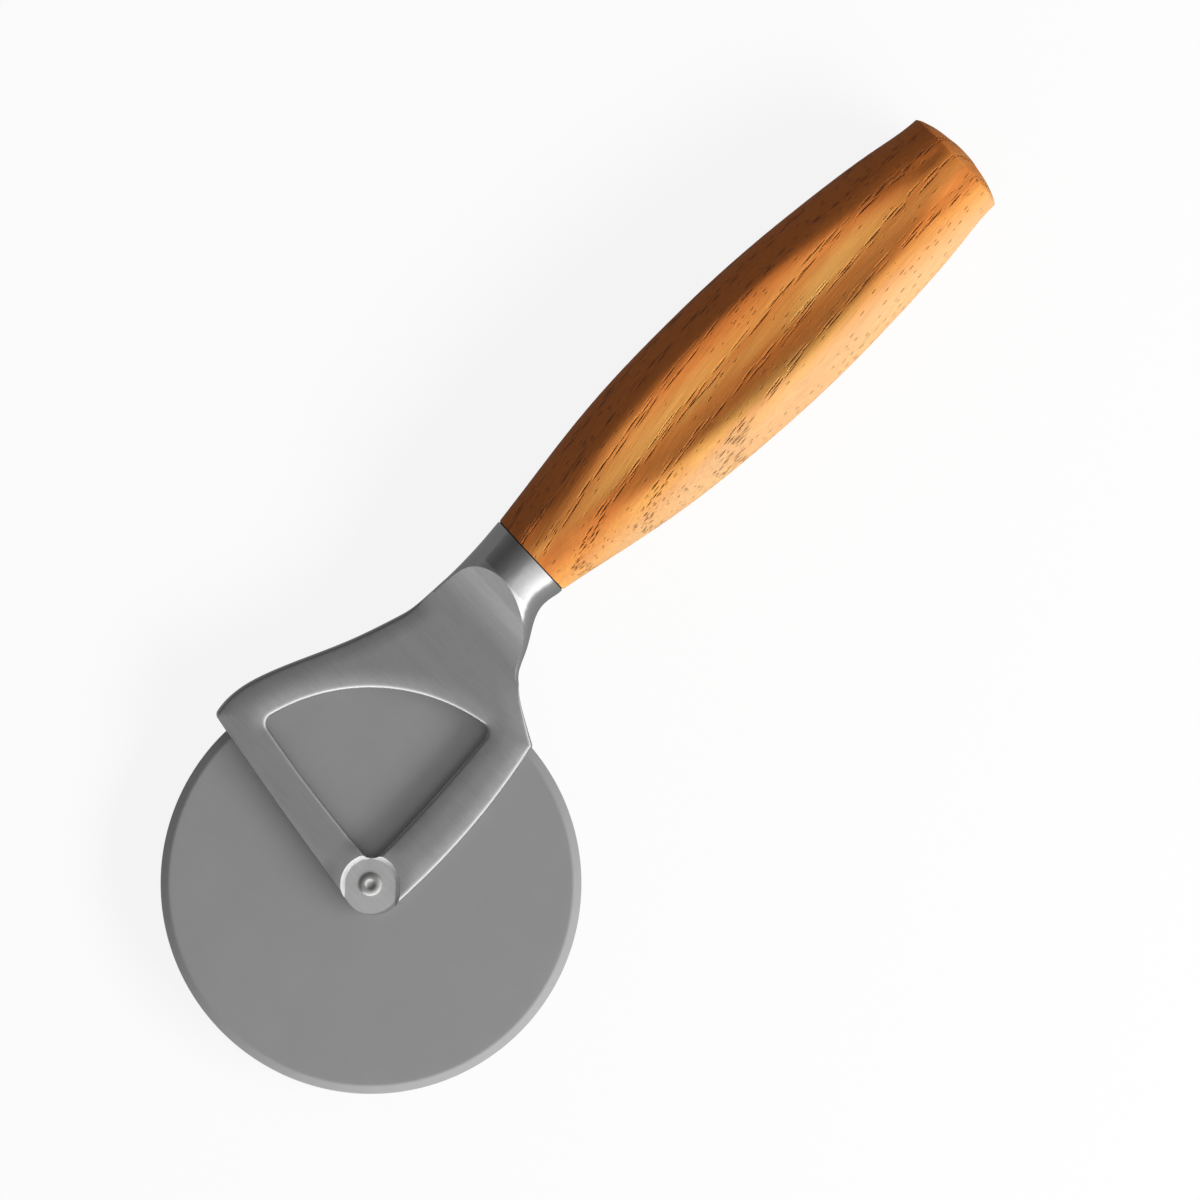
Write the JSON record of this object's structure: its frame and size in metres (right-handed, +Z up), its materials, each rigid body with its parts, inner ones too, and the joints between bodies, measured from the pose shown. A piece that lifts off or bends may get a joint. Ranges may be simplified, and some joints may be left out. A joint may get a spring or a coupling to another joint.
{
  "type": "pizza cutter",
  "caption": "Hand-held pizza cutter: a free-turning bevelled steel wheel on the side of an open forged steel frame with a round bolster and a hollowed wooden handle.",
  "frame": {"origin": "on the table that the tool lies on, below the middle of its box", "axes": "+X from the wheel to the butt of the handle, +Y towards the finger guard, +Z up along the wheel's axle, from the wheel to the frame's front face"},
  "size_m": [0.244, 0.0948, 0.0219],
  "materials": {
    "frame_steel": "finely brushed",
    "blade_steel": "satin, ground bevel",
    "rivet_steel": "bright, formed cold",
    "washer_steel": "satin",
    "bush_polymer": "smooth acetal",
    "tang_steel": "turned",
    "seal_film": "matte",
    "handle_wood": "oiled, open pored"
  },
  "bodies": {
    "root": {"frame": "frame_steel", "axle_rivet": "rivet_steel", "front_washer": "washer_steel", "rear_washer": "washer_steel", "tang": "tang_steel", "joint_seal": "seal_film", "handle": "handle_wood"},
    "wheel": {"cutting_wheel": "blade_steel", "wheel_bush": "bush_polymer"}
  },
  "joints": [
    {"name": "wheel_spin", "type": "hinge", "parent": "root", "child": "wheel", "pos_m": [-0.07697, -0.0024, 0.00777], "axis": [0, 0, 1], "continuous": true}
  ]
}
